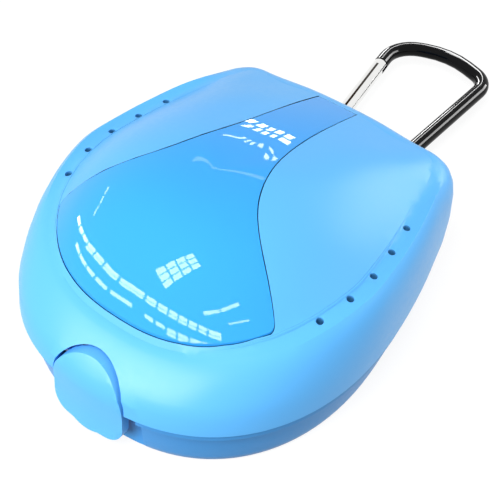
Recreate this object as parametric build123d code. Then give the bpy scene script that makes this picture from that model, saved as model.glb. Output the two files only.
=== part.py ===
from build123d import *
from math import atan, atan2, ceil, cos, degrees, hypot, radians, sin, tan
import os

# Mouth guard case with a domed lid, a front snap latch, a pinned back hinge and a carabiner.
# Millimetres, +Z up, base bottom at Z 0, latch towards -Y, hinge and carabiner towards +Y.

# Plan outline of the closed case
HALF_WIDTH = 43.0
FRONT_TIP = 55.3
BACK_EDGE = 41.6
WIDEST_Y = -9.2
FRONT_POWER_X = 2.37
FRONT_POWER_Y = 2.2
BACK_HALF_WIDTH = 32.4
SIDE_TAPER_POWER = 1.68
BACK_CORNER = 6.9

# Heights of the closed case
LID_EDGE_Z = 14.2
FLANGE_TOP_Z = 13.9
FLANGE_BOTTOM_Z = 11.94
CREASE_Z = 34.2
CREASE_FRONT_DROP = 6.0
CREASE_BACK_RISE = 2.7
CROWN_Z = 49.3
CROWN_Y = -14.0
# How full the dome is: its power at the sides, what the front adds and what the back takes off
CROWN_POWER = 2.4
CROWN_POWER_FRONT = 0.5
CROWN_POWER_BACK = 0.9

# Where the raised crown of the lid starts, in from the outline
CREASE_INSET = 6.8
CREASE_INSET_FRONT = 9.8

# Walls, panel and vents
LID_WALL = 2.0
CROWN_WALL = 2.8
PANEL_THICKNESS = 1.2
PANEL_GAP = 0.2
PANEL_FRONT_INSET = 0.9
PANEL_CORNER = 1.4
# One side of the panel from the front corner to the back edge
PANEL_SIDE = [(29.5, -29.9), (25.6, -26.8), (19.7, -22.4), (13.9, -16.3), (9.7, -7.1),
              (7.3, 4.3), (6.4, 14), (5.5, 35.2)]
VENT_DIAMETER = 1.7
VENT_COUNT = 5
VENT_FIRST_Y = 11.9
VENT_PITCH = 8.46
VENT_INSET = 5.9

# Base details
FLANGE_INSET = 0.7
UPSTAND_TOP_Z = 15.8
UPSTAND_INSET = LID_WALL + 1.5
RUN_GAP = 0.3
CATCH_HALF_WIDTH = 12.2
CATCH_INSET = 2.45
CATCH_RECESS = 3.6
# Base outside from the bottom up and the tray's hollow: inset from the outline and height
BASE_OUTSIDE = [(5.4, 0), (4.2, 0.4), (3.4, 1.4), (3, 3), (2.6, 7), (2.2, FLANGE_BOTTOM_Z),
                (FLANGE_INSET, FLANGE_BOTTOM_Z), (FLANGE_INSET, FLANGE_TOP_Z),
                (UPSTAND_INSET, FLANGE_TOP_Z), (UPSTAND_INSET, UPSTAND_TOP_Z)]
TRAY_HOLLOW = [(8, 2), (6.2, 2.8), (5.6, 6), (5.4, 10.5), (5.2, UPSTAND_TOP_Z + 0.2)]

# Back hinge
HINGE_RADIUS = 2.9
HINGE_PIN_RADIUS = 1.2
HINGE_Z = 14.0
HINGE_Y = BACK_EDGE + HINGE_RADIUS + RUN_GAP
HINGE_HALF_LENGTH = 22.0
KNUCKLES = 5
PIN_FIT = 0.05

# Front latch
LATCH_HALF_WIDTH = 9.75
LATCH_BOTTOM_Z = 4.4
LATCH_CORNER = 4.2
LATCH_THICKNESS = 2.1
LATCH_ARCH_Z = 13.5
LATCH_PIVOT_Y = -51.1
LATCH_PIVOT_Z = 19.0
LATCH_BARREL = 2.2
LATCH_BARREL_HALF = 7.0
LATCH_PIN_RADIUS = 0.8
LATCH_PIN_HALF = 11.0
LATCH_REACH = 11.0
LATCH_COLUMNS = 4
# Latch face from the lip up: inset from the outline and height
LATCH_FACE = [(-1.4, 2), (-0.55, 8), (-0.3, 12), (-0.4, 15), (-0.1, 18.1), (1.1, 20.6),
              (2.8, 22.9), (4.9, 25.1)]
POCKET_GAP = 0.35
POCKET_LIFT = 0.5
POCKET_BACK_Y = -47.4
LINER_WALL = 1.6
LINER_HALF_WIDTH = 12.0
LINER_TOP_Z = 25.4
HOOK_ENGAGE = 0.7
HOOK_HEIGHT = 1.8
HOOK_HALF_WIDTH = 6.0

# Carabiner
WIRE_RADIUS = 2.15
LUG_HOLE = 3.0
LUG_RIM = 1.9
LUG_HALF_WIDTH = 2.2
LUG_Y = 47.2
LUG_Z = 6.5
CARABINER_X = -2.9
CARABINER_YAW = 3.8
NEAR_HALF = 9.75
LEG_SPREAD = 0.1
GATE_PIVOT = 12.0
GATE_TIP = 47.9
ROD_END = 9.6
NOSE_START = 48.3
FORK_SLOT = 1.8
TANG_THICKNESS = 1.5
TANG_RADIUS = 1.6
RIVET_RADIUS = 0.75
NOSE_PIN_RADIUS = 0.6
NOSE_PIN_HALF = 1.3
NOSE_PIN_BACK = 1.7
NOSE_TONGUE = 1.0
NOSE_SLOT = 1.5
# How far the tang and the nose's tongue run into the rod
ROD_OVERLAP = 0.5
SPRING_RADIUS = 1.05
SPRING_LENGTH = 9.0
PLUNGER_LENGTH = 3.0
# Corners of the rod's route after the near bow, in the carabiner's own axes, and their radii
FAR_CORNERS = [(15.6, 58.6), (0.5, 65), (-15.6, 59.5)]
BOW_RADII = [7, 7, 7, 20, 10]
BEND_STEP = 12

FRONT_STEPS = 10
SIDE_STEPS = 6
CORNER_STEPS = 5
BACK_STEPS = 2

# Lid wall sections from the lower edge to just past the crease, where the crown has begun:
# share of the crease's inset, share of the crease's height
SIDE_SECTION = [(0.03, 0), (0, 0.3), (0.06, 0.62), (0.16, 0.83), (0.3, 0.96), (0.47, 1.012),
                (0.7, 0.988), (1.2, 1.01)]
FRONT_SECTION = [(0, 0), (0.06, 0.28), (0.225, 0.457), (0.42, 0.621), (0.62, 0.765),
                 (0.79, 0.883), (0.9, 0.945), (1.15, 1.04)]
BACK_SECTION = [(0.03, 0), (0, 0.3), (0.05, 0.6), (0.13, 0.745), (0.26, 0.845), (0.45, 0.915),
                (0.7, 0.965), (1.2, 1.008)]
# Wall levels that are enough for the hollow inside
INNER_LEVELS = [0, 1, 2, 3, 4, 5, 7]
CROWN_STRIPS = 18
INNER_STRIPS = 16
CROWN_COLUMNS = 10
# Flat-faced seat floor under the panel
SEAT_STRIPS = 11
SEAT_COLUMNS = 8
CROWN_OVERLAP = 0.5


def mix(a, b, share):
    return a + (b - a) * share


def clamp(value, low=0.0, high=1.0):
    return max(low, min(high, value))


def half_outline():
    """Right half of the plan outline, from the front tip to the middle of the back edge."""
    points = []
    for i in range(FRONT_STEPS):
        turn = radians(90 * i / FRONT_STEPS)
        x = HALF_WIDTH * sin(turn) ** (2 / FRONT_POWER_X)
        y = WIDEST_Y - (WIDEST_Y + FRONT_TIP) * cos(turn) ** (2 / FRONT_POWER_Y)
        points.append((x, y))
    narrowing = HALF_WIDTH - BACK_HALF_WIDTH
    side_length = BACK_EDGE - WIDEST_Y
    slope = narrowing * SIDE_TAPER_POWER / side_length
    lean = hypot(slope, 1)
    corner_y = BACK_EDGE - BACK_CORNER / lean
    corner_x = BACK_HALF_WIDTH + BACK_CORNER * slope / lean
    for i in range(SIDE_STEPS):
        y = mix(WIDEST_Y, corner_y, i / SIDE_STEPS)
        x = HALF_WIDTH - narrowing * ((y - WIDEST_Y) / side_length) ** SIDE_TAPER_POWER
        points.append((x, y))
    for i in range(CORNER_STEPS):
        t = i / CORNER_STEPS
        to_middle, to_end = 2 * t * (1 - t), t * t
        x = (1 - t) ** 2 * corner_x + to_middle * BACK_HALF_WIDTH + to_end * (BACK_HALF_WIDTH - BACK_CORNER)
        points.append((x, mix(BACK_EDGE, corner_y, (1 - t) ** 2)))
    for i in range(BACK_STEPS + 1):
        points.append((mix(BACK_HALF_WIDTH - BACK_CORNER, 0, i / BACK_STEPS), BACK_EDGE))
    return points


def stations():
    """Points round the whole outline, each with the step that moves the wall 1 mm inwards."""
    half = half_outline()
    ring = half + [(-x, y) for x, y in reversed(half[1:-1])]
    result = []
    for i, (x, y) in enumerate(ring):
        before, after = ring[i - 1], ring[(i + 1) % len(ring)]
        along_x, along_y = after[0] - before[0], after[1] - before[1]
        length = hypot(along_x, along_y)
        normal_x, normal_y = -along_y / length, along_x / length
        aim_y = clamp(y, CROWN_Y, -CROWN_Y) - y
        reach = hypot(x, aim_y)
        aim_x, aim_y = -x / reach, aim_y / reach
        depth = aim_x * normal_x + aim_y * normal_y
        result.append((x, y, aim_x / depth, aim_y / depth))
    return result


STATIONS = stations()


def ring_parameters():
    """One set of spline parameters for every ring, so that lofts stay light and even."""
    total, values = 0.0, [0.0]
    for i, station in enumerate(STATIONS):
        after = STATIONS[(i + 1) % len(STATIONS)]
        total += hypot(after[0] - station[0], after[1] - station[1])
        values.append(total)
    return values


PARAMETERS = ring_parameters()


def ring_wire(points):
    return Wire([Edge.make_spline([Vector(*p) for p in points], periodic=True, parameters=PARAMETERS)])


def flat_ring(inset, z):
    """The outline moved in by an inset, as a flat ring."""
    return [(x + inset * sx, y + inset * sy, z) for x, y, sx, sy in STATIONS]


def loft_rings(rings):
    """Solid whose bands run straight from ring to ring, so that creases stay sharp."""
    return Solid.make_loft([ring_wire(ring) for ring in rings], ruled=True)


def ring_loft(levels):
    """Solid through flat rings given as inset and height."""
    return loft_rings([flat_ring(inset, z) for inset, z in levels])


def ring_block(inset, low, high):
    """Upright block inside the outline moved in by an inset."""
    return ring_loft([(inset, low), (inset, high)])


def front_share(y):
    return clamp((WIDEST_Y - y) / (WIDEST_Y + FRONT_TIP))


def back_share(y):
    share = clamp((y - BACK_EDGE / 2) / (BACK_EDGE * 0.42))
    return share * share * (3 - 2 * share)


def crease_height(x, y):
    rise = CREASE_BACK_RISE * back_share(y) * (1 - (x / BACK_HALF_WIDTH) ** 2)
    return CREASE_Z - CREASE_FRONT_DROP * front_share(y) ** 2 + max(rise, 0)


def wall_point(station, level, inward=0.0, down=0.0):
    """Point of the lid wall at one station and level, moved in and down for inner skins."""
    x, y, step_x, step_y = station
    front, back = front_share(y), back_share(y)
    side = SIDE_SECTION[level]
    inset_share = mix(mix(side[0], FRONT_SECTION[level][0], front), BACK_SECTION[level][0], back)
    height_share = mix(mix(side[1], FRONT_SECTION[level][1], front), BACK_SECTION[level][1], back)
    inset = mix(CREASE_INSET, CREASE_INSET_FRONT, front) * inset_share + inward
    z = mix(LID_EDGE_Z, crease_height(x, y), height_share) - down
    return x + inset * step_x, y + inset * step_y, z


def wall_ring(level, inward=0.0, down=0.0):
    ring = [wall_point(s, level, inward, down) for s in STATIONS]
    if level == 0:
        return [(x, y, LID_EDGE_Z - down) for x, y, z in ring]
    return ring


def crease_point(station, inward=0.0):
    """Plan point of the crease at one station, moved in for inner skins."""
    x, y, step_x, step_y = station
    inset = mix(CREASE_INSET, CREASE_INSET_FRONT, front_share(y)) + inward
    return x + inset * step_x, y + inset * step_y


def crease_table():
    """Right half of the crease seen from the crown's top: turn from the front, reach, height, power."""
    table = []
    for station in STATIONS[:len(STATIONS) // 2 + 1]:
        x, y = crease_point(station)
        turn = atan2(x, CROWN_Y - y)
        back = clamp((station[1] - WIDEST_Y) / (BACK_EDGE - WIDEST_Y))
        power = CROWN_POWER + CROWN_POWER_FRONT * front_share(station[1])
        power -= CROWN_POWER_BACK * back ** 1.5
        table.append((turn, hypot(x, y - CROWN_Y), crease_height(station[0], station[1]), power))
    return table


CREASE_TABLE = crease_table()


def crown_height(x, y):
    """Height of the dome over a plan point; past the crease it runs on straight."""
    turn = atan2(abs(x), CROWN_Y - y)
    for low, high in zip(CREASE_TABLE, CREASE_TABLE[1:]):
        if turn <= high[0]:
            break
    part = clamp((turn - low[0]) / (high[0] - low[0]))
    reach, height, power = [mix(a, b, part) for a, b in zip(low[1:], high[1:])]
    share = hypot(x, y - CROWN_Y) / reach
    drop = share ** power if share < 1 else 1 + power * (share - 1)
    return CROWN_Z - (CROWN_Z - height) * drop


def crown_section(y, lower, half, columns, flat):
    """Upright cross-section under the dome at one depth."""
    places = [mix(-half, half, i / columns) for i in range(columns + 1)]
    points = [Vector(x, y, crown_height(x, y) - lower) for x in places]
    if flat:
        top = [Edge.make_line(a, b) for a, b in zip(points, points[1:])]
    else:
        top = [Edge.make_spline(points, parameters=places)]
    foot = Vector(half, y, -FRONT_TIP), Vector(-half, y, -FRONT_TIP)
    rest = [Edge.make_line(points[-1], foot[0]), Edge.make_line(*foot), Edge.make_line(foot[1], points[0])]
    return Wire(top + rest)


def crown_block(lower=0.0, strips=CROWN_STRIPS, half=HALF_WIDTH, columns=CROWN_COLUMNS, flat=False):
    """Everything under the dome, or under the dome lowered by a depth."""
    first, last = crease_point(STATIONS[0])[1] - 2, BACK_EDGE - CREASE_INSET + 3
    depths = [mix(first, last, i / strips) for i in range(strips + 1)]
    return Solid.make_loft([crown_section(y, lower, half, columns, flat) for y in depths], ruled=True)


def seat_floor():
    """Everything under the panel."""
    half = PANEL_SIDE[0][0] + 2 * PANEL_GAP
    return crown_block(PANEL_THICKNESS, SEAT_STRIPS, half, SEAT_COLUMNS, flat=True)


def crease_prism(inward):
    """Upright block inside the crease moved in by an inset."""
    rings = [[(*crease_point(s, inward), z) for s in STATIONS] for z in (LID_EDGE_Z, CROWN_Z + 1)]
    return loft_rings(rings)


def skirt(levels, inward=0.0):
    """The lid below and around its crown, closed under the dome."""
    closing = [(*crease_point(s, 2 * LID_WALL + inward), LID_EDGE_Z + LID_WALL) for s in STATIONS]
    return loft_rings([wall_ring(level, inward, inward) for level in levels] + [closing])


def lid_form():
    """The lid's outer form as a closed block: wall, roll, valley and dome."""
    return skirt(range(len(SIDE_SECTION))) + (crown_block() & crease_prism(-CROWN_OVERLAP))


def lid_hollow():
    """The space inside the lid, run out below its edge."""
    return skirt(INNER_LEVELS, LID_WALL) + (crown_block(CROWN_WALL, INNER_STRIPS) & crease_prism(LID_WALL))


def panel_prism(grow):
    """Upright block of the panel's bell outline: a narrow neck that flares to the front arc."""
    side = [(x + grow, y) for x, y in PANEL_SIDE]
    side[0] = (side[0][0], side[0][1] - grow)
    side[-1] = (side[-1][0], side[-1][1] + grow)
    corner_x, corner_y = side[0]
    arc = [crease_point(s, PANEL_FRONT_INSET) for s in STATIONS[:FRONT_STEPS]]
    arc = [(x, y - grow) for x, y in arc if x < corner_x - PANEL_CORNER]
    arc = [(corner_x, corner_y)] + arc[::-1] + [(-x, y) for x, y in arc[1:]] + [(-corner_x, corner_y)]
    right = Edge.make_spline([Vector(*p) for p in side])
    left = Edge.make_spline([Vector(-x, y) for x, y in side])
    front = Edge.make_spline([Vector(*p) for p in arc])
    back = Edge.make_line(Vector(*side[-1]), Vector(-side[-1][0], side[-1][1]))
    outline = Face(Wire([right, back, left, front]))
    corners = outline.vertices().sort_by(Axis.Y)[:2]
    wire = fillet(corners, PANEL_CORNER).wires()[0]
    return Solid.make_loft([Pos(0, 0, z) * wire for z in (LID_EDGE_Z, CROWN_Z + 1)], ruled=True)


def block(x_half, y_low, y_high, z_low, z_high, x_middle=0.0):
    size = Box(2 * x_half, y_high - y_low, z_high - z_low)
    return Pos(x_middle, (y_low + y_high) / 2, (z_low + z_high) / 2) * size


def rod_x(radius, half_length, y, z, x_middle=0.0):
    """Round rod along X."""
    return Pos(x_middle, y, z) * Rot(0, 90, 0) * Cylinder(radius, 2 * half_length)


def tongue(grow, bottom, lift=0.0, corner=0.0):
    """Front-to-back block of the latch outline: straight sides under a round top."""
    half = LATCH_HALF_WIDTH + grow
    arch = LATCH_ARCH_Z + lift
    shape = Pos(0, arch) * Circle(half) + Pos(0, (arch + bottom) / 2) * Rectangle(2 * half, arch - bottom)
    if corner:
        shape = fillet(shape.vertices().sort_by(Axis.Y)[:2], corner)
    front_plane = Plane((0, POCKET_BACK_Y, 0), x_dir=(1, 0, 0), z_dir=(0, -1, 0))
    return extrude(front_plane * shape, amount=FRONT_TIP / 3)


def knuckle_spans():
    """Left and right ends of the hinge knuckles; even ones are on the base, odd ones on the lid."""
    width = 2 * HINGE_HALF_LENGTH / KNUCKLES
    starts = [-HINGE_HALF_LENGTH + i * width for i in range(KNUCKLES)]
    return [(x + RUN_GAP / 2, x + width - RUN_GAP / 2) for x in starts]


def knuckle(span, y_root, z_low, z_high):
    middle, half = (span[0] + span[1]) / 2, (span[1] - span[0]) / 2
    web = block(half, y_root, HINGE_Y, z_low, z_high, middle)
    return rod_x(HINGE_RADIUS, half, HINGE_Y, HINGE_Z, middle) + web


def hinge_bore():
    return rod_x(HINGE_PIN_RADIUS + PIN_FIT, HINGE_HALF_LENGTH + 1, HINGE_Y, HINGE_Z)


def vents():
    """The row of vent holes in the valley beside each side of the crown."""
    holes = []
    for i in range(VENT_COUNT):
        y = VENT_FIRST_Y - i * VENT_PITCH
        x = vent_x(y)
        for side in (-1, 1):
            holes.append(Pos(side * x, y, CREASE_Z) * Cylinder(VENT_DIAMETER / 2, 10))
    return holes


def vent_x(y):
    """Distance of a vent from the middle, so that it stays in the valley along the outline."""
    right = [crease_point(s) for s in STATIONS[:len(STATIONS) // 2]]
    for (xa, ya), (xb, yb) in zip(right, right[1:]):
        if ya <= y <= yb and xa > HALF_WIDTH / 2:
            return mix(xa, xb, (y - ya) / (yb - ya)) + CREASE_INSET - VENT_INSET
    raise ValueError("no place for a vent at this depth")


def lid_shell():
    liner_back = POCKET_BACK_Y + LINER_WALL
    liner = block(LINER_HALF_WIDTH, -FRONT_TIP, liner_back, 0, LINER_TOP_Z)
    top = HINGE_Z + HINGE_RADIUS
    knuckles = [knuckle(span, BACK_EDGE - LID_WALL / 2, LID_EDGE_Z, top) for span in knuckle_spans()[1::2]]
    lid = (lid_form() - (lid_hollow() - liner)).fuse(*knuckles)
    seat = panel_prism(PANEL_GAP) - seat_floor()
    pocket = tongue(POCKET_GAP, 0, POCKET_LIFT)
    return lid.cut(seat, pocket, latch_pin(), hinge_bore(), *vents())


def gloss_panel():
    return (panel_prism(0) & crown_block()) - seat_floor()


def face_point(x, inset, z):
    """Point in front at a distance from the middle, with the outline moved in by an inset."""
    ring = flat_ring(inset, z)
    for (xa, ya, _), (xb, yb, _) in zip(ring, ring[1:]):
        if xa <= abs(x) <= xb:
            return Vector(x, mix(ya, yb, (abs(x) - xa) / (xb - xa)), z)
    raise ValueError("no place for the latch")


def latch_slab():
    """Curved slab that the flap is cut from: the front outline at each height, and the same behind."""
    columns = [mix(-LATCH_REACH, LATCH_REACH, i / LATCH_COLUMNS) for i in range(LATCH_COLUMNS + 1)]
    sections = []
    for inset, z in LATCH_FACE:
        face = [face_point(x, inset, z) for x in columns]
        behind = [point + Vector(0, LATCH_THICKNESS, 0) for point in face]
        sides = [Edge.make_line(face[-1], behind[-1]), Edge.make_line(behind[0], face[0])]
        sections.append(Wire([Edge.make_spline(face), sides[0], Edge.make_spline(behind[::-1]), sides[1]]))
    return Solid.make_loft(sections, ruled=True)


def latch_flap():
    """Snap latch: curved flap with a round top, a flared lip, a barrel and a hook."""
    outline = tongue(0, LATCH_BOTTOM_Z, corner=LATCH_CORNER)
    barrel = rod_x(LATCH_BARREL, LATCH_BARREL_HALF, LATCH_PIVOT_Y, LATCH_PIVOT_Z)
    hook_top = FLANGE_BOTTOM_Z - RUN_GAP
    hook_front = mix(-FRONT_TIP, -FRONT_TIP + CATCH_INSET, 0.5)
    hook_back = -FRONT_TIP + CATCH_INSET + HOOK_ENGAGE
    hook = block(HOOK_HALF_WIDTH, hook_front, hook_back, hook_top - HOOK_HEIGHT, hook_top)
    flap = (latch_slab() & outline).fuse(barrel & outline, hook)
    return flap - rod_x(LATCH_PIN_RADIUS + PIN_FIT, FRONT_TIP, LATCH_PIVOT_Y, LATCH_PIVOT_Z)


def latch_pin():
    return rod_x(LATCH_PIN_RADIUS, LATCH_PIN_HALF, LATCH_PIVOT_Y, LATCH_PIVOT_Z)


def hinge_pin():
    return rod_x(HINGE_PIN_RADIUS, HINGE_HALF_LENGTH, HINGE_Y, HINGE_Z)


def lug():
    """Flat eye behind the base that holds the carabiner."""
    outer = LUG_HOLE + LUG_RIM
    root = BACK_EDGE - BASE_OUTSIDE[0][0] / 2
    plate = block(LUG_HALF_WIDTH, root, LUG_Y, LUG_Z - outer, LUG_Z + outer)
    return plate + rod_x(outer, LUG_HALF_WIDTH, LUG_Y, LUG_Z)


def base_shell():
    """Tray with a rim flange, an upstand inside the lid, the catch, knuckles and the lug."""
    low = HINGE_Z - HINGE_RADIUS
    knuckles = [knuckle(span, BACK_EDGE - CATCH_RECESS, low, FLANGE_TOP_Z) for span in knuckle_spans()[::2]]
    recess = block(CATCH_HALF_WIDTH, -FRONT_TIP - 1, POCKET_BACK_Y, -1, FLANGE_TOP_Z)
    keep_low = ring_block(CATCH_RECESS, -1, FLANGE_BOTTOM_Z)
    keep_high = ring_block(CATCH_INSET, FLANGE_BOTTOM_Z, FLANGE_TOP_Z)
    room = block(LINER_HALF_WIDTH + 2 * RUN_GAP, -FRONT_TIP, 0, FLANGE_TOP_Z, UPSTAND_TOP_Z + 1)
    eye = rod_x(LUG_HOLE, LUG_HALF_WIDTH + 1, LUG_Y, LUG_Z)
    base = ring_loft(BASE_OUTSIDE).fuse(lug(), *knuckles)
    return base.cut(recess.cut(keep_low, keep_high), ring_loft(TRAY_HOLLOW), room, eye, hinge_bore())


def carabiner_place():
    """Where the carabiner's own axes lie: its near bow runs through the lug's hole."""
    y = LUG_Y + CARABINER_X * tan(radians(CARABINER_YAW))
    return Pos(CARABINER_X, y, LUG_Z) * Rot(0, 0, CARABINER_YAW)


def gate_place():
    """The gate side's axes: origin at the near corner, Y along the straight leg."""
    return carabiner_place() * Pos(-NEAR_HALF, 0, 0) * Rot(0, 0, degrees(atan(LEG_SPREAD)))


def rod_y(radius, low, high):
    return Pos(0, (low + high) / 2, 0) * Rot(90, 0, 0) * Cylinder(radius, high - low)


def bent_rod(route):
    """Round rod along a flat route, in short straight steps round its bends."""
    places, done = [0.0], 0.0
    for edge in route.order_edges():
        steps = 1
        if edge.geom_type == GeomType.CIRCLE:
            steps = ceil(degrees(edge.length / edge.radius) / BEND_STEP)
        places += [(done + edge.length * i / steps) / route.length for i in range(1, steps + 1)]
        done += edge.length
    planes = [Plane(route @ u, x_dir=(0, 0, 1), z_dir=route % u) for u in places]
    return Solid.make_loft([Wire([Edge.make_circle(WIRE_RADIUS, plane)]) for plane in planes], ruled=True)


def carabiner_body():
    """Bent rod from the gate's pivot round the near bow, the spine and the far bow to the nose."""
    start = (-NEAR_HALF - LEG_SPREAD * ROD_END, ROD_END)
    nose = (-NEAR_HALF - LEG_SPREAD * NOSE_START, NOSE_START)
    corners = [start, (-NEAR_HALF, 0), (NEAR_HALF, 0)] + FAR_CORNERS + [nose]
    rod = bent_rod(FilletPolyline(*corners, radius=BOW_RADII))
    tang_low = ROD_END - ROD_OVERLAP
    tang_size = Box(2 * TANG_RADIUS, GATE_PIVOT - tang_low, TANG_THICKNESS)
    tang = Pos(0, (tang_low + GATE_PIVOT) / 2, 0) * tang_size
    tang += Pos(0, GATE_PIVOT, 0) * Cylinder(TANG_RADIUS, TANG_THICKNESS)
    tang -= Pos(0, GATE_PIVOT, 0) * Cylinder(RIVET_RADIUS, TANG_THICKNESS + 1)
    pin_y = GATE_TIP - NOSE_PIN_BACK
    tongue_low, tongue_high = pin_y - 2 * NOSE_PIN_RADIUS, NOSE_START + ROD_OVERLAP
    tip_size = Box(WIRE_RADIUS, tongue_high - tongue_low, NOSE_TONGUE)
    tip = Pos(0, (tongue_low + tongue_high) / 2, 0) * tip_size
    tip -= Pos(0, pin_y, 0) * Cylinder(NOSE_PIN_RADIUS, NOSE_TONGUE + 1)
    return carabiner_place() * rod + gate_place() * (tang + tip)


def carabiner_gate():
    """Straight gate: forked round the tang, bored for its spring, slotted at the nose."""
    gate = rod_y(WIRE_RADIUS, GATE_PIVOT - WIRE_RADIUS, GATE_TIP)
    end = Pos(0, GATE_PIVOT, 0) * Cylinder(WIRE_RADIUS, 3 * WIRE_RADIUS)
    length = GATE_TIP - GATE_PIVOT
    gate &= end + Pos(0, GATE_PIVOT + length / 2, 0) * Box(3 * WIRE_RADIUS, length, 3 * WIRE_RADIUS)
    slot_high = GATE_PIVOT + TANG_RADIUS + 2 * RUN_GAP
    gate -= Pos(0, slot_high - 3, 0) * Box(3 * WIRE_RADIUS, 6, FORK_SLOT)
    gate -= Pos(0, GATE_PIVOT, 0) * Cylinder(RIVET_RADIUS + PIN_FIT, 3 * WIRE_RADIUS)
    gate -= rod_y(SPRING_RADIUS + PIN_FIT, spring_low() - PLUNGER_LENGTH, spring_low() + SPRING_LENGTH)
    pin_y = GATE_TIP - NOSE_PIN_BACK
    slot_low, slot_end = pin_y - 2 * NOSE_PIN_RADIUS - RUN_GAP, GATE_TIP + 2
    slot_size = Box(3 * WIRE_RADIUS, slot_end - slot_low, NOSE_SLOT)
    gate -= Pos(0, (slot_low + slot_end) / 2, 0) * slot_size
    notch = NOSE_PIN_RADIUS + RUN_GAP
    notch_size = Box(notch + 2 * WIRE_RADIUS, 2 * notch, 2 * NOSE_PIN_HALF + RUN_GAP)
    gate -= Pos((notch - 2 * WIRE_RADIUS) / 2, pin_y, 0) * notch_size
    return gate_place() * gate


def spring_low():
    return GATE_PIVOT + TANG_RADIUS + RUN_GAP + PLUNGER_LENGTH


def gate_rivet():
    return gate_place() * Pos(0, GATE_PIVOT, 0) * Cylinder(RIVET_RADIUS, 2 * WIRE_RADIUS - 2 * PIN_FIT)


def nose_pin():
    return gate_place() * Pos(0, GATE_TIP - NOSE_PIN_BACK, 0) * Cylinder(NOSE_PIN_RADIUS, 2 * NOSE_PIN_HALF)


def gate_spring():
    tube = rod_y(SPRING_RADIUS, spring_low(), spring_low() + SPRING_LENGTH)
    return gate_place() * (tube - rod_y(SPRING_RADIUS * 0.7, spring_low(), spring_low() + SPRING_LENGTH))


def gate_plunger():
    return gate_place() * rod_y(SPRING_RADIUS, spring_low() - PLUNGER_LENGTH, spring_low())


PARTS = {
    "base_shell": base_shell,
    "hinge_pin": hinge_pin,
    "lid_shell": lid_shell,
    "gloss_panel": gloss_panel,
    "latch_flap": latch_flap,
    "latch_pin": latch_pin,
    "carabiner_body": carabiner_body,
    "nose_pin": nose_pin,
    "gate_rivet": gate_rivet,
    "carabiner_gate": carabiner_gate,
    "gate_spring": gate_spring,
    "gate_plunger": gate_plunger,
}

os.makedirs("parts", exist_ok=True)
for name, build in PARTS.items():
    shape = build()
    print(name, round(shape.volume, 1), len(shape.solids()), shape.is_valid)
    export_step(shape, f"parts/{name}.step")
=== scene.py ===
import math

import bmesh
import bpy
from mathutils import Matrix, Vector
from mathutils.bvhtree import BVHTree
from mathutils.geometry import delaunay_2d_cdt


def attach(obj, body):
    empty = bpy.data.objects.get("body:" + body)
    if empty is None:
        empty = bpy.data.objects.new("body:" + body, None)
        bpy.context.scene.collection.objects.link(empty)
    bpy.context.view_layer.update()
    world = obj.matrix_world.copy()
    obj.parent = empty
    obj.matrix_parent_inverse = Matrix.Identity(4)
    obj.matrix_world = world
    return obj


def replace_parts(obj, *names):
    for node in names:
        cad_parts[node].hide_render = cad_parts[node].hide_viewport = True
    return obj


# Mouth guard case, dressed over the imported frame. +Z up, latch towards -Y. Camera, floor, lamps,
# materials and modifiers are in metres, and the shapes' own sizes in millimetres as in the CAD.
MM = 0.001

# Camera that matches the photograph
CAMERA_AZIMUTH = 34.713
CAMERA_ELEVATION = 45.367
CAMERA_ROLL = -3.603
CAMERA_DISTANCE = 0.268955
CAMERA_TARGET = Vector((0.000173, 0.001722, 0.01286))
FOCAL_PIXELS = 1120.1
IMAGE_PIXELS = 500
SENSOR = 36.0
CLIP_NEAR = 0.01
CLIP_FAR = 20

# Finish colours, linear
SKY_BLUE = (0.115, 0.48, 0.97)
# The base's colour: the lid's plastic made darker, as painted shade
PAINTED_SHADE_BASE_BLUE = (0.06, 0.32, 0.74)
# Painted shade for the vents and the panel's gap
PAINTED_SHADE_BLUE = (0.002, 0.02, 0.07)
GLOSS_BLUE = (0.033, 0.375, 0.95)
BLACK_ROD = (0.0025, 0.0025, 0.003)
CHROME = (0.86, 0.86, 0.85)
# Dark brown of the gate's seam: a painted reflection of dark surroundings
SEAM_PAINTED_REFLECTION_BROWN = (0.03, 0.018, 0.01)
STEEL = (0.55, 0.55, 0.56)

# Painted shade in the vents and the panel's gap: how near the cover has to be, the heights between
# which it comes in, and how open a point is where it is full and where it ends
PAINTED_SHADE_REACH = 0.0016
PAINTED_SHADE_LOW = 0.024
PAINTED_SHADE_HIGH = 0.027
PAINTED_SHADE_FULL = 0.3
PAINTED_SHADE_END = 0.9
PAINTED_SHADE_SAMPLES = 8

# Part of the noise's range that a roughness is spread over
NOISE_LOW = 0.3
NOISE_HIGH = 0.7

# Colour sockets of a Mix node, which has other sockets of the same names
MIX_A = 6
MIX_B = 7
MIX_RESULT = 2

# The dome that the panel follows: plan outline, points along its parts, heights, fullness
HALF_WIDTH = 43.0
FRONT_TIP = 55.3
BACK_EDGE = 41.6
WIDEST_Y = -9.2
FRONT_POWER_X = 2.37
FRONT_POWER_Y = 2.2
BACK_HALF_WIDTH = 32.4
SIDE_TAPER_POWER = 1.68
FRONT_STEPS = 20
SIDE_STEPS = 12
BACK_STEPS = 6
CREASE_Z = 34.2
CREASE_FRONT_DROP = 6.0
CREASE_BACK_RISE = 2.7
CREASE_RISE_START = BACK_EDGE / 2
CREASE_RISE_LENGTH = BACK_EDGE * 0.42
CREASE_INSET = 6.8
CREASE_INSET_FRONT = 9.8
CROWN_Z = 49.3
CROWN_Y = -14.0
CROWN_POWER = 2.4
CROWN_POWER_FRONT = 0.5
CROWN_POWER_BACK = 0.9
CROWN_BACK_GROWTH = 1.5

# Crease in even turns round the crown: steps, passes that ease it, turn in radians where that starts
TABLE_STEPS = 90
TABLE_PASSES = 60
EASED_FROM = 1.9

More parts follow.
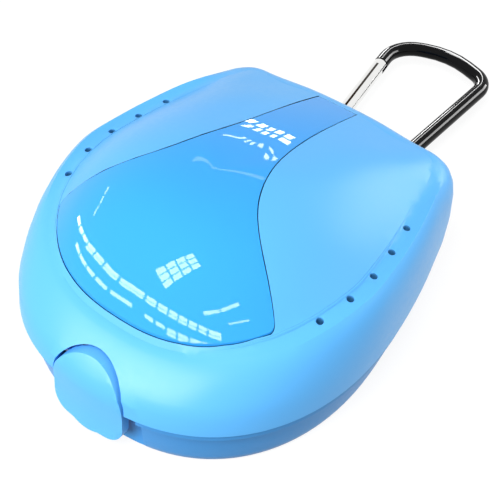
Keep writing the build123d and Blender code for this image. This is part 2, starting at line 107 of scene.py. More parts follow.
# Panel: thickness, spacing of its mesh, reach of its normals, rounding of its edge, depth below the
# CAD's crown, and its edge from top to floor as shares of the rounding outwards and downwards
PANEL_THICKNESS = 1.2
PANEL_MESH = 1.0
NORMAL_STEP = 0.3
PANEL_ROUNDING = 0.16
PANEL_SINK = 0.02
PANEL_EDGE = [(0.7, 0.3), (1.0, 1.0), (1.0, PANEL_THICKNESS / PANEL_ROUNDING)]

# Outline of a CAD top: distance at which points are one, and the least that a top face looks up
OUTLINE_WELD = 0.002
TOP_FACING = 0.2

# Triangles inside an outline: the kind that keeps to its inside, and distance at which points are one
FILL_INSIDE = 1
FILL_WELD = 0.0001

# Fine raised line along each side of the crease: turns in degrees from the front, share of the
# crease's reach, steps, steps that fade, size left at its ends, and its section as distance
# outwards and height
BEAD_TURNS = (38, 138)
BEAD_SHARE = 0.99
BEAD_STEPS = 90
BEAD_FADE = 24
BEAD_END = 0.05
BEAD_SECTION = [(-0.26, -0.2), (-0.24, 0.02), (-0.12, 0.13), (0, 0.17),
                (0.12, 0.13), (0.24, 0.02), (0.26, -0.2)]

# Latch flap: middle of its round top, thickness, points that the CAD gives the front of the outline
# that it follows, straight between them, and its face as heights with their inset from that outline
LATCH_ARCH_Z = 13.5
LATCH_THICKNESS = 2.1
LATCH_FRONT_STEPS = 10
LATCH_FACE = [(2, -1.4), (8, -0.55), (12, -0.3), (15, -0.4), (18.1, -0.1), (20.6, 1.1),
              (22.9, 2.8), (25.1, 4.9)]

# Rib behind the flap's round top: turns round the arch in degrees, up to the top
LEDGE_TURNS = [15, 22, 28, 34, 40, 50, 60, 70, 80, 90]
LEDGE_RADIUS = 9.7
LEDGE_HEIGHT = 1.0
LEDGE_OVERLAP = 0.5
LEDGE_DEPTH = 0.75
LEDGE_ROUNDING = 0.15

# Rolled seam of the gate, whose dark brown is a painted reflection: its pivot, the turn of its axis
# from +Y in radians, start, end, half width in degrees round the tube, outer radius, depth
GATE_PIVOT = (-14.611, 58.196, 6.5)
GATE_YAW = 0.166
SEAM_START = 3.0
SEAM_END = 33.6
SEAM_HALF = 9
SEAM_RADIUS = 2.165
SEAM_DEPTH = 0.15

# Shading of CAD nodes: points nearer than this are one, and facets that meet at less than this
# angle in degrees are shaded as one surface
WELD_DISTANCE = 0.000002
CREASE_ANGLE = 32

# Fine rounding of moulded edges, and the least angle in degrees of an edge that gets it
ROUNDED_ANGLE = 50
ROUNDING_SEGMENTS = 2
ROUNDED_EDGES = {"lid_shell": 0.00016, "base_shell": 0.00035, "latch_flap": 0.0003}

# Floor: half its width, how far it lies below the case, its tone, and its brightness to the camera
FLOOR_REACH = 4.0
FLOOR_SINK = 0.0002
FLOOR_TONE = 0.16
FLOOR_GLOW = 0.88

# Light
AMBIENT = 0.24
LAMP_DISTANCE = 1.2
# Wide lamps that only light: direction from the case, width, light on a surface that faces them
WIDE_LAMPS = [((0.1, -0.5, 0.86), 0.5, 0.72), ((-0.35, -0.9, 0.3), 0.6, 0.72),
              ((0.85, 0.4, 0.3), 0.7, 0.43), ((-0.3, 0.9, 0.4), 0.7, 0.2)]
# Softboxes for the sheen of the satin plastic alone: direction, width, height, radiance
SHEEN_LAMPS = [((-0.16, -0.93, 0.36), 1.1, 0.4, 15.0), ((0.32, 0.87, 0.37), 0.6, 0.35, 7.0)]
# Long softboxes for the rod: tilt in degrees of the rod's surface that shows each, half the angle in
# degrees that each is wide, radiance
ROD_LAMPS = [(-21, 2.5, 75), (3, 2, 60), (41, 9, 26)]
ROD_LAMP_LENGTH = 0.9
# Softboxes that the gloss alone shows, as rows of window panes: points on each row's line (azimuth,
# elevation), and the azimuths where its panes start and end. Degrees, 0 is the latch side and 90 is
# +X. They were set from where the photograph shows the panes in the panel.
HIGH_ROW = [(-85, 1), (-68, 6), (-45, 12), (-29, 12.7), (-17, 15), (-5, 17.5), (15, 20), (38, 21)]
HIGH_PANES = [(-80, -73), (-72, -66), (-65, -58), (-57, -49), (-48, -40), (-39, -31), (-30, -22),
              (-21, -15), (-14, -8), (-7, -1), (0, 6), (7, 13), (14, 20), (21, 30)]
LOW_ROW = [(-66, 2.6), (-42, 5), (-28, 6.3), (-21, 8)]
LOW_PANES = [(-64, -57), (-56, -48), (-47, -40), (-39, -32), (-31, -24)]
LOWER_ROW = [(-20, 7.4), (-14, 8.5), (2, 11.7), (15, 13.9), (29, 16)]
LOWER_PANES = [(-19, -14), (-13, -7), (-6, 0), (1, 8), (9, 16), (17, 24)]
FAR_BACK_ROW = [(-160, 18.4), (-157.4, 17.3), (-152.6, 15.2), (-149.5, 13), (-147, 11.4)]
FAR_BACK_PANES = [(-157.8, -156.2), (-155.9, -154.3), (-154, -152.5), (-152.2, -150.8),
                  (-150.5, -149.2)]
MID_BACK_ROW = [(-160, 20.3), (-157.8, 19.1), (-153.8, 17.9), (-149.7, 15.3), (-147, 13.6)]
MID_BACK_PANES = [(-157.8, -155.8), (-155.4, -154.1), (-153.6, -152.2), (-151.9, -150.8),
                  (-150.5, -149.5)]
NEAR_BACK_ROW = [(-158, 23), (-156, 22.9), (-152.2, 22.6), (-149.7, 20.6), (-148, 19.2)]
NEAR_BACK_PANES = [(-156.4, -155), (-154.6, -153.4), (-152.9, -151.8), (-151.4, -150.6),
                   (-150.3, -149.6)]
STREAK_ROW = [(-165, 43.3), (-150.3, 40.9), (-142.3, 40.6), (-135.7, 36.7)]
STREAK_PANES = [(-164, -152), (-152, -145), (-145, -137)]
LEFT_ROW = [(-94, 18.9), (-81.3, 18), (-71.8, 13.8)]
LEFT_PANES = [(-93, -87), (-86, -80), (-79, -73)]
RIGHT_ROW = [(16, 27), (49, 39)]
RIGHT_PANES = [(17, 30), (31, 47)]
THIN_ROW = [(35, 27), (54, 31)]
THIN_PANES = [(36, 52)]
# Bar between neighbouring panes, then each row: name, line, panes, offset in height, height, all in
# degrees, and radiance
PANE_BAR = 0.35
PANE_ROWS = [
    ("high", HIGH_ROW, HIGH_PANES, 0.6, 1.7, 22),
    ("high_low", HIGH_ROW, HIGH_PANES[3:], -1.1, 1.2, 20),
    ("low", LOW_ROW, LOW_PANES, 0, 1.5, 19),
    ("lower", LOWER_ROW, LOWER_PANES, 0.3, 1.4, 19),
    ("lowest", LOWER_ROW, LOWER_PANES[2:], -1.2, 1.2, 19),
    ("far", FAR_BACK_ROW, FAR_BACK_PANES, 0, 1.3, 16),
    ("mid", MID_BACK_ROW, MID_BACK_PANES, 0, 1.2, 16),
    ("near", NEAR_BACK_ROW, NEAR_BACK_PANES, 0, 1.4, 10),
    ("streak", STREAK_ROW, STREAK_PANES, 0, 2.4, 3.2),
    ("left", LEFT_ROW, LEFT_PANES, 0, 1.4, 9),
    ("right", RIGHT_ROW, RIGHT_PANES, 0, 1.8, 19),
    ("thin", THIN_ROW, THIN_PANES, 0, 0.8, 15),
]
# The tall window: two corners low and two high as directions from the case, its panes across and up,
# the bars between them, radiance
WINDOW = ((-0.35, -0.82, 0.45), (-0.22, -0.87, 0.45), (0.13, -0.54, 0.83), (-0.1, -0.54, 0.84))
WINDOW_COLUMNS = 3
WINDOW_ROWS = 4
WINDOW_BAR = 0.013
WINDOW_ROW_BAR = 0.03
WINDOW_RADIANCE = 23


def mix(a, b, share):
    """The number that lies a share of the way from one to the other."""
    return a + (b - a) * share


def clamp(value, low=0.0, high=1.0):
    """The value, kept between two limits."""
    return max(low, min(high, value))


def along_line(points, x):
    """Height of a line of points at x; past its ends, its first and last stretch go on."""
    for (xa, ya), (xb, yb) in zip(points, points[1:]):
        if x <= xb:
            break
    return mix(ya, yb, (x - xa) / (xb - xa))


def empty_tree(owner):
    """The node tree of a material or world, with nothing in it."""
    owner.use_nodes = True
    owner.node_tree.nodes.clear()
    return owner.node_tree


def new_material(name):
    """Material with a plain shader, which the caller dresses."""
    material = bpy.data.materials.new(name)
    tree = empty_tree(material)
    shader = tree.nodes.new("ShaderNodeBsdfPrincipled")
    output = tree.nodes.new("ShaderNodeOutputMaterial")
    tree.links.new(shader.outputs["BSDF"], output.inputs["Surface"])
    return material, shader


def noise(material, scale, detail=2.0):
    """Noise fixed to the object's own coordinates, in features per metre."""
    nodes, links = material.node_tree.nodes, material.node_tree.links
    place = nodes.new("ShaderNodeTexCoord")
    texture = nodes.new("ShaderNodeTexNoise")
    texture.inputs["Scale"].default_value = scale
    texture.inputs["Detail"].default_value = detail
    links.new(place.outputs["Object"], texture.inputs["Vector"])
    return texture


def roughened(material, shader, scale, low, high):
    """Roughness that drifts between two limits with noise of that scale."""
    nodes, links = material.node_tree.nodes, material.node_tree.links
    texture = noise(material, scale)
    ramp = nodes.new("ShaderNodeMapRange")
    ramp.inputs["From Min"].default_value = NOISE_LOW
    ramp.inputs["From Max"].default_value = NOISE_HIGH
    ramp.inputs["To Min"].default_value = low
    ramp.inputs["To Max"].default_value = high
    links.new(texture.outputs["Fac"], ramp.inputs["Value"])
    links.new(ramp.outputs["Result"], shader.inputs["Roughness"])


def painted_shade_share(material):
    """Mask for painted shade: 1 on open surface, and 0 deep in a vent or in the panel's gap, whose
    pieces move as one.
    """
    nodes, links = material.node_tree.nodes, material.node_tree.links
    hidden = nodes.new("ShaderNodeAmbientOcclusion")
    hidden.samples = PAINTED_SHADE_SAMPLES
    hidden.inputs["Distance"].default_value = PAINTED_SHADE_REACH
    ramp = nodes.new("ShaderNodeMapRange")
    ramp.inputs["From Min"].default_value = PAINTED_SHADE_FULL
    ramp.inputs["From Max"].default_value = PAINTED_SHADE_END
    links.new(hidden.outputs["AO"], ramp.inputs["Value"])
    place = nodes.new("ShaderNodeTexCoord")
    split = nodes.new("ShaderNodeSeparateXYZ")
    links.new(place.outputs["Object"], split.inputs["Vector"])
    height = nodes.new("ShaderNodeMapRange")
    height.inputs["From Min"].default_value = PAINTED_SHADE_LOW
    height.inputs["From Max"].default_value = PAINTED_SHADE_HIGH
    links.new(split.outputs["Z"], height.inputs["Value"])
    share = nodes.new("ShaderNodeMix")
    share.inputs["A"].default_value = 1.0
    links.new(height.outputs["Result"], share.inputs["Factor"])
    links.new(ramp.outputs["Result"], share.inputs["B"])
    return share.outputs["Result"]


def paint_gap_shade(material, shader):
    """Paints shade into the base colour in the vents and the panel's gap."""
    nodes, links = material.node_tree.nodes, material.node_tree.links
    colour = shader.inputs["Base Color"].links[0].from_socket
    mixed = nodes.new("ShaderNodeMix")
    mixed.data_type = "RGBA"
    mixed.inputs[MIX_A].default_value = (*PAINTED_SHADE_BLUE, 1)
    links.new(painted_shade_share(material), mixed.inputs["Factor"])
    links.new(colour, mixed.inputs[MIX_B])
    links.new(mixed.outputs[MIX_RESULT], shader.inputs["Base Color"])


def tinted(material, shader, colour, scale, change):
    """Base colour that drifts a little lighter and darker with noise of that scale."""
    nodes, links = material.node_tree.nodes, material.node_tree.links
    texture = noise(material, scale)
    mixed = nodes.new("ShaderNodeMix")
    mixed.data_type = "RGBA"
    mixed.inputs[MIX_A].default_value = (*[c * (1 - change) for c in colour], 1)
    mixed.inputs[MIX_B].default_value = (*[min(1, c * (1 + change)) for c in colour], 1)
    links.new(texture.outputs["Fac"], mixed.inputs["Factor"])
    links.new(mixed.outputs[MIX_RESULT], shader.inputs["Base Color"])


def grain(material, shader, scale, depth):
    """Fine surface relief."""
    nodes, links = material.node_tree.nodes, material.node_tree.links
    bump = nodes.new("ShaderNodeBump")
    bump.inputs["Strength"].default_value = 1.0
    bump.inputs["Distance"].default_value = depth
    links.new(noise(material, scale, detail=3.0).outputs["Fac"], bump.inputs["Height"])
    links.new(bump.outputs["Normal"], shader.inputs["Normal"])


def satin_plastic(name, colour, specular):
    """Moulded plastic with a fine grain and painted shade in its gaps, for the shells and the flap."""
    material, shader = new_material(name)
    shader.inputs["Specular IOR Level"].default_value = specular
    tinted(material, shader, colour, scale=35, change=0.02)
    paint_gap_shade(material, shader)
    roughened(material, shader, scale=900, low=0.31, high=0.38)
    grain(material, shader, scale=5200, depth=0.0000035)
    return material


def gloss_plastic():
    """Polished plastic of the inset panel, with painted shade in its gap."""
    material, shader = new_material("gloss_blue_plastic")
    shader.inputs["Specular IOR Level"].default_value = 0.22
    shader.inputs["Coat Weight"].default_value = 0.12
    shader.inputs["Coat Roughness"].default_value = 0.01
    tinted(material, shader, GLOSS_BLUE, scale=25, change=0.015)
    paint_gap_shade(material, shader)
    roughened(material, shader, scale=300, low=0.012, high=0.022)
    return material


def black_finish():
    """Gloss black of the carabiner's rod."""
    material, shader = new_material("gloss_black_anodised")
    shader.inputs["Specular IOR Level"].default_value = 0.05
    shader.inputs["Coat Weight"].default_value = 0.12
    shader.inputs["Coat Roughness"].default_value = 0.02
    tinted(material, shader, BLACK_ROD, scale=400, change=0.2)
    roughened(material, shader, scale=700, low=0.06, high=0.1)
    return material


def metal(name, colour, rough_low, rough_high):
    """Metal whose colour and polish drift slightly."""
    material, shader = new_material(name)
    shader.inputs["Metallic"].default_value = 1.0
    tinted(material, shader, colour, scale=250, change=0.05)
    roughened(material, shader, scale=800, low=rough_low, high=rough_high)
    return material


def assign(node, material):
    """Gives a CAD node its finish."""
    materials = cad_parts[node].data.materials
    materials.clear()
    materials.append(material)


def direction(azimuth, elevation):
    """Direction from the case; azimuth 0 is the latch side and 90 is +X."""
    a, e = math.radians(azimuth), math.radians(elevation)
    return Vector((math.sin(a) * math.cos(e), -math.cos(a) * math.cos(e), math.sin(e)))


def add_camera():
    """Camera where the photograph's stood."""
    azimuth, roll = math.radians(CAMERA_AZIMUTH), math.radians(CAMERA_ROLL)
    back = direction(CAMERA_AZIMUTH, CAMERA_ELEVATION)
    right = Vector((math.cos(azimuth), math.sin(azimuth), 0))
    up = back.cross(right)
    turned_right = right * math.cos(roll) - up * math.sin(roll)
    turned_up = right * math.sin(roll) + up * math.cos(roll)
    data = bpy.data.cameras.new("camera")
    data.sensor_width = SENSOR
    data.lens = FOCAL_PIXELS * SENSOR / IMAGE_PIXELS
    data.clip_start = CLIP_NEAR
    data.clip_end = CLIP_FAR
    camera = bpy.data.objects.new("camera", data)
    bpy.context.scene.collection.objects.link(camera)
    rotation = Matrix((turned_right, turned_up, back)).transposed().to_4x4()
    camera.matrix_world = Matrix.Translation(CAMERA_TARGET + back * CAMERA_DISTANCE) @ rotation
    bpy.context.scene.camera = camera


def background_share(tree):
    """1 for rays that should meet the plain white background, 0 for rays that only light."""
    path = tree.nodes.new("ShaderNodeLightPath")
    total = None
    for name in ("Is Camera Ray", "Is Glossy Ray", "Is Transmission Ray"):
        if total is None:
            total = path.outputs[name]
            continue
        add = tree.nodes.new("ShaderNodeMath")
        add.operation = "MAXIMUM"
        tree.links.new(total, add.inputs[0])
        tree.links.new(path.outputs[name], add.inputs[1])
        total = add.outputs[0]
    return total


def add_world():
    """White surroundings to the camera and in reflections, with a dim even light from them."""
    world = bpy.data.worlds.new("studio")
    bpy.context.scene.world = world
    tree = empty_tree(world)
    light = tree.nodes.new("ShaderNodeBackground")
    light.inputs["Strength"].default_value = AMBIENT
    white = tree.nodes.new("ShaderNodeBackground")
    mixed = tree.nodes.new("ShaderNodeMixShader")
    output = tree.nodes.new("ShaderNodeOutputWorld")
    light.inputs["Color"].default_value = (1, 1, 1, 1)
    white.inputs["Color"].default_value = (1, 1, 1, 1)
    tree.links.new(background_share(tree), mixed.inputs["Fac"])
    tree.links.new(light.outputs[0], mixed.inputs[1])
    tree.links.new(white.outputs[0], mixed.inputs[2])
    tree.links.new(mixed.outputs[0], output.inputs["Surface"])


def add_floor():
    """Plain pale floor: white to the camera, with the object's soft shadow kept."""
    corners = [(FLOOR_REACH * x, FLOOR_REACH * y, 0) for x, y in ((-1, -1), (1, -1), (1, 1), (-1, 1))]
    mesh = bpy.data.meshes.new("floor")
    mesh.from_pydata(corners, [], [(0, 1, 2, 3)])
    floor = bpy.data.objects.new("floor", mesh)
    floor.location.z = -FLOOR_SINK
    bpy.context.scene.collection.objects.link(floor)
    material = bpy.data.materials.new("pale_floor")
    tree = empty_tree(material)
    diffuse = tree.nodes.new("ShaderNodeBsdfDiffuse")
    diffuse.inputs["Color"].default_value = (FLOOR_TONE, FLOOR_TONE, FLOOR_TONE, 1)
    glow = tree.nodes.new("ShaderNodeEmission")
    add = tree.nodes.new("ShaderNodeAddShader")
    output = tree.nodes.new("ShaderNodeOutputMaterial")
    strength = tree.nodes.new("ShaderNodeMath")
    strength.operation = "MULTIPLY"
    strength.inputs[1].default_value = FLOOR_GLOW
    tree.links.new(background_share(tree), strength.inputs[0])
    tree.links.new(strength.outputs[0], glow.inputs["Strength"])
    tree.links.new(diffuse.outputs[0], add.inputs[0])
    tree.links.new(glow.outputs[0], add.inputs[1])
    tree.links.new(add.outputs[0], output.inputs["Surface"])
    mesh.materials.append(material)


def add_area_light(name, middle, across, width, height, radiance):
    """Rectangular softbox that faces the case, with its width along a given direction."""
    out = middle.normalized()
    up = out.cross(across).normalized()
    data = bpy.data.lights.new(name, "AREA")
    data.shape = "RECTANGLE"
    data.size = width
    data.size_y = height
    data.energy = radiance * math.pi * width * height
    light = bpy.data.objects.new(name, data)
    bpy.context.scene.collection.objects.link(light)
    rotation = Matrix((up.cross(out), up, out)).transposed().to_4x4()
    light.matrix_world = Matrix.Translation(middle) @ rotation
    return light


def only_gloss(light, receivers):
    """The light shows in reflections of the named pieces and doesn't light anything."""
    light.visible_diffuse = False
    light.light_linking.receiver_collection = bpy.data.collections[receivers]


def add_pane_row(name, line, panes, offset, height, radiance):
    """Row of small softboxes that only the gloss shows."""
    tall = 2 * LAMP_DISTANCE * math.tan(math.radians(height) / 2)
    for i, pane in enumerate(panes):
        ends = pane[0] + PANE_BAR / 2, pane[1] - PANE_BAR / 2
        first, last = [direction(a, offset + along_line(line, a)) * LAMP_DISTANCE for a in ends]
        span = last - first
        light = add_area_light(f"{name}_{i}", (first + last) / 2, span, span.length, tall, radiance)
        only_gloss(light, "gloss_pieces")


def add_window():
    """Tall window of several panes that only the gloss shows."""
    a, b, c, d = [Vector(corner) * LAMP_DISTANCE for corner in WINDOW]
    width = ((b - a).length + (c - d).length) / 2
    across = (b - a) + (c - d)
    along = ((d - a) + (c - b)) / 2
    middle = (a + b + c + d) / 4
    across = (across - across.project(along)).normalized()
    height = along.length
    upward = along.normalized()
    size = width / WINDOW_COLUMNS - WINDOW_BAR, height / WINDOW_ROWS - WINDOW_ROW_BAR
    for i in range(WINDOW_COLUMNS):
        for j in range(WINDOW_ROWS):
            pane = middle + across * width * ((i + 0.5) / WINDOW_COLUMNS - 0.5)
            pane += upward * height * ((j + 0.5) / WINDOW_ROWS - 0.5)
            light = add_area_light(f"window_{i}_{j}", pane, across, *size, WINDOW_RADIANCE)
            only_gloss(light, "gloss_pieces")


def add_level_light(name, toward, width, height, radiance):
    """Softbox in a direction from the case, with its width level."""
    middle = Vector(toward).normalized() * LAMP_DISTANCE
    across = Vector((-middle.y, middle.x, 0))
    return add_area_light(name, middle, across, width, height, radiance)


def add_wide_lamps():
    """Wide lamps that light the case and stay out of its gloss."""
    for i, (toward, size, strength) in enumerate(WIDE_LAMPS):
        radiance = strength * math.pi * LAMP_DISTANCE ** 2 / size ** 2
        light = add_level_light(f"wide_lamp_{i}", toward, size, size, radiance)
        light.visible_glossy = False


def add_sheen_lamps():
    """Softboxes that give the satin pieces their broad highlights."""
    for i, lamp in enumerate(SHEEN_LAMPS):
        only_gloss(add_level_light(f"sheen_lamp_{i}", *lamp), "satin_pieces")


def gate_axes():
    """Directions along the gate and level across it."""
    along = Vector((-math.sin(GATE_YAW), math.cos(GATE_YAW), 0))
    return along, Vector((along.y, -along.x, 0))


def add_rod_lamps():
    """Long softboxes whose reflections run as lines along the carabiner's black rod."""
    along, aside = gate_axes()
    sight = direction(CAMERA_AZIMUTH, CAMERA_ELEVATION)
    for i, (tilt, half_angle, radiance) in enumerate(ROD_LAMPS):
        turn = math.radians(tilt)
        normal = aside * math.sin(turn) + Vector((0, 0, math.cos(turn)))
        toward = 2 * normal.dot(sight) * normal - sight
        lengthwise = (along - toward * along.dot(toward)).normalized()
        size = ROD_LAMP_LENGTH, 2 * LAMP_DISTANCE * math.tan(math.radians(half_angle))
        middle = toward * LAMP_DISTANCE
        light = add_area_light(f"rod_lamp_{i}", middle, lengthwise, *size, radiance)
        only_gloss(light, "rod_pieces")


def gather(name, objects):
    """Named set of pieces that some lamps are kept to."""
    group = bpy.data.collections.new(name)
    for piece in objects:
        group.objects.link(piece)


def smoothed(node):
    """Joins the facets of a CAD node's faces and shades them as one surface up to a crease."""
    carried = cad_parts[node]
    weld = carried.modifiers.new("weld", "WELD")
    weld.merge_threshold = WELD_DISTANCE
    if node in ROUNDED_EDGES:
        rounding = carried.modifiers.new("rounding", "BEVEL")
        rounding.width = ROUNDED_EDGES[node]
        rounding.segments = ROUNDING_SEGMENTS
        rounding.limit_method = "ANGLE"
        rounding.angle_limit = math.radians(ROUNDED_ANGLE)
        rounding.use_clamp_overlap = True
    split = carried.modifiers.new("creases", "EDGE_SPLIT")
    split.split_angle = math.radians(CREASE_ANGLE)
    split.use_edge_sharp = False
    even = carried.modifiers.new("even_normals", "WEIGHTED_NORMAL")
    even.mode = "FACE_AREA"


def half_outline(front_steps):
    """Right half of the plan outline, from the front tip to the middle of the back edge."""
    points = []
    for i in range(front_steps):
        turn = math.radians(90 * i / front_steps)
        x = HALF_WIDTH * math.sin(turn) ** (2 / FRONT_POWER_X)
        y = WIDEST_Y - (WIDEST_Y + FRONT_TIP) * math.cos(turn) ** (2 / FRONT_POWER_Y)
        points.append((x, y))
    side_length = BACK_EDGE - WIDEST_Y
    for i in range(SIDE_STEPS + 1):
        y = mix(WIDEST_Y, BACK_EDGE, i / SIDE_STEPS)
        taper = ((y - WIDEST_Y) / side_length) ** SIDE_TAPER_POWER
        points.append((HALF_WIDTH - (HALF_WIDTH - BACK_HALF_WIDTH) * taper, y))
    for i in range(1, BACK_STEPS + 1):
        points.append((BACK_HALF_WIDTH * (1 - i / BACK_STEPS), BACK_EDGE))
    return points


def stations(front_steps):
    """Points of the right half, each with the way its offsets go and how square to it that is."""
    half = half_outline(front_steps)
    ring = [(-half[1][0], half[1][1])] + half + [(-half[-2][0], half[-2][1])]
    found = []
    for (xa, ya), (x, y), (xb, yb) in zip(ring, ring[1:], ring[2:]):
        normal = Vector((ya - yb, xb - xa)).normalized()
        aim = Vector((-x, clamp(y, CROWN_Y, -CROWN_Y) - y)).normalized()
        found.append((x, y, aim, aim.dot(normal)))
    return found


def inset_point(station, inset):
    """Where a station comes to when the outline is offset inwards."""
    x, y, aim, squareness = station
    return Vector((x, y)) + aim * (inset / squareness)


def front_share(y):
    """0 at the widest place and behind it, 1 at the front tip."""
    return clamp((WIDEST_Y - y) / (WIDEST_Y + FRONT_TIP))


def crease_height(x, y):
    """Height of the crease: low in front, and high in the middle of the back."""
    share = clamp((y - CREASE_RISE_START) / CREASE_RISE_LENGTH)
    rise = CREASE_BACK_RISE * share * share * (3 - 2 * share) * (1 - (x / BACK_HALF_WIDTH) ** 2)
    return CREASE_Z - CREASE_FRONT_DROP * front_share(y) ** 2 + max(rise, 0)


def crease_table():
    """Right half of the crease seen from the crown's top: turn from the front, reach, height, power."""
    table = []
    for station in stations(FRONT_STEPS):
        x, y = station[:2]
        front, back = front_share(y), clamp((y - WIDEST_Y) / (BACK_EDGE - WIDEST_Y))
        place = inset_point(station, mix(CREASE_INSET, CREASE_INSET_FRONT, front))
        growth = back ** CROWN_BACK_GROWTH
        power = CROWN_POWER + CROWN_POWER_FRONT * front - CROWN_POWER_BACK * growth
        reach = math.hypot(place.x, place.y - CROWN_Y)
        table.append((math.atan2(place.x, CROWN_Y - place.y), reach, crease_height(x, y), power))
    return table


def slope_at(table, i, column):
    """Rate of change of a column at one row of the table."""
    if i in (0, len(table) - 1):
        return 0.0
    low, high = table[i - 1], table[i + 1]
    return (high[column] - low[column]) / (high[0] - low[0])


def table_values(table, turn):
    """Reach, height and power at a turn, with no kinks between the rows."""
    i = 0
    while i < len(table) - 2 and turn > table[i + 1][0]:
        i += 1
    low, high = table[i], table[i + 1]
    step = high[0] - low[0]
    t = clamp((turn - low[0]) / step)
    values = []
    for column in (1, 2, 3):
        start, end = slope_at(table, i, column) * step, slope_at(table, i + 1, column) * step
        fall, rise = 2 * t ** 3 - 3 * t ** 2 + 1, 3 * t ** 2 - 2 * t ** 3
        bend = start * (t ** 3 - 2 * t ** 2 + t) + end * (t ** 3 - t ** 2)
        values.append(low[column] * fall + high[column] * rise + bend)
    return values


def even_table(table):
    """The table in even turns, with the back corners' kinks eased out."""
    turns = [math.pi * i / TABLE_STEPS for i in range(TABLE_STEPS + 1)]
    rows = [(turn, *table_values(table, turn)) for turn in turns]
    for _ in range(TABLE_PASSES):
        eased = list(rows)
        for i in range(1, TABLE_STEPS):
            if turns[i] > EASED_FROM:
                columns = zip(rows[i - 1], rows[i], rows[i + 1])
                eased[i] = tuple((a + 2 * b + c) / 4 for a, b, c in columns)
        rows = eased
    return rows


def crown_height(table, x, y):
    """Height of the dome, which falls from the crown's top to the crease by a power of the reach."""
    reach, height, power = table_values(table, math.atan2(abs(x), CROWN_Y - y))
    share = math.hypot(x, y - CROWN_Y) / reach
    drop = share ** power if share < 1 else 1 + power * (share - 1)
    return CROWN_Z - PANEL_SINK - (CROWN_Z - height) * drop


def crown_normal(table, x, y):
    """Way that the dome faces."""
    across = crown_height(table, x + NORMAL_STEP, y) - crown_height(table, x - NORMAL_STEP, y)
    along = crown_height(table, x, y + NORMAL_STEP) - crown_height(table, x, y - NORMAL_STEP)
    return Vector((-across, -along, 2 * NORMAL_STEP)).normalized()


def top_outline(node):
    """Outline of a CAD node's top seen from above, in millimetres, anticlockwise."""
    mesh = bmesh.new()
    mesh.from_mesh(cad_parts[node].data)
    bmesh.ops.remove_doubles(mesh, verts=mesh.verts, dist=OUTLINE_WELD * MM)
    top = {face for face in mesh.faces if face.normal.z > TOP_FACING}
    rim = [e for e in mesh.edges if len([f for f in e.link_faces if f in top]) == 1]
    links = {}
    for edge in rim:
        for vert, other in (edge.verts, reversed(edge.verts)):
            links.setdefault(vert, []).append(other)
    start = rim[0].verts[0]
    loop, before, here = [start], None, start
    while True:
        after = [v for v in links[here] if v is not before][0]
        if after is start:
            break
        loop.append(after)
        before, here = here, after
    points = [Vector((v.co.x, v.co.y)) / MM for v in loop]
    mesh.free()
    area = sum(a.x * b.y - b.x * a.y for a, b in zip(points, points[1:] + points[:1]))
    return points if area > 0 else points[::-1]


def inset_outline(points, distance):
    """The outline moved inwards."""
    moved = []
    for i, here in enumerate(points):
        along = (points[(i + 1) % len(points)] - points[i - 1]).normalized()
        moved.append(here + Vector((-along.y, along.x)) * distance)
    return moved


def filled(points):
    """Even triangles inside an outline: points, faces, and which points lie on the outline."""
    low_x, high_x = min(p.x for p in points), max(p.x for p in points)
    low_y, high_y = min(p.y for p in points), max(p.y for p in points)
    given = list(points)
    for i in range(1, int((high_x - low_x) / PANEL_MESH)):
        for j in range(1, int((high_y - low_y) / PANEL_MESH)):
            given.append(Vector((low_x + i * PANEL_MESH, low_y + j * PANEL_MESH)))
    count = len(points)
    made = delaunay_2d_cdt(given, [], [list(range(count))], FILL_INSIDE, FILL_WELD)
    places, _, faces, origins = made[:4]
    rim = {source: i for i, sources in enumerate(origins) for source in sources if source < count}
    return places, faces, [rim[i] for i in range(count)]


def new_piece(name, body, material, verts, faces, normals=None):
    """Mesh piece from points in millimetres that rides on a body."""
    mesh = bpy.data.meshes.new(name)
    mesh.from_pydata([v * MM for v in verts], [], faces)
    mesh.shade_smooth()
    if normals:
        mesh.normals_split_custom_set_from_vertices(normals)
    mesh.materials.append(material)
    piece = bpy.data.objects.new(name, mesh)
    bpy.context.scene.collection.objects.link(piece)
    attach(piece, body)
    return piece


def gate_seam_painted_reflection(material):
    """Closed seam along the top of the gate, which is rolled from sheet; its dark brown is a painted
    reflection.
    """
    along, aside = gate_axes()
    verts, faces = [], []
    for reach in (SEAM_START, SEAM_END):
        for degrees in (-SEAM_HALF, 0, SEAM_HALF):
            turn = math.radians(degrees)
            out = aside * math.sin(turn) + Vector((0, 0, math.cos(turn)))
            for radius in (SEAM_RADIUS, SEAM_RADIUS - SEAM_DEPTH):
                verts.append(Vector(GATE_PIVOT) + along * reach + out * radius)
    for i in (0, 2):
        faces += [[i, i + 2, i + 8, i + 6], [i + 1, i + 7, i + 9, i + 3]]
    faces += [[0, 6, 7, 1], [4, 5, 11, 10], [0, 1, 3, 2], [2, 3, 5, 4], [6, 8, 9, 7], [8, 10, 11, 9]]
    return new_piece("gate_seam_painted_reflection", "gate", material, verts, faces)


def latch_back(x, z):
    """Y of the latch flap's back, whose face follows the outline at an inset that height changes."""
    inset = along_line(LATCH_FACE, z)
    face = [inset_point(station, inset) for station in stations(LATCH_FRONT_STEPS)]
    return along_line(face, abs(x)) + LATCH_THICKNESS


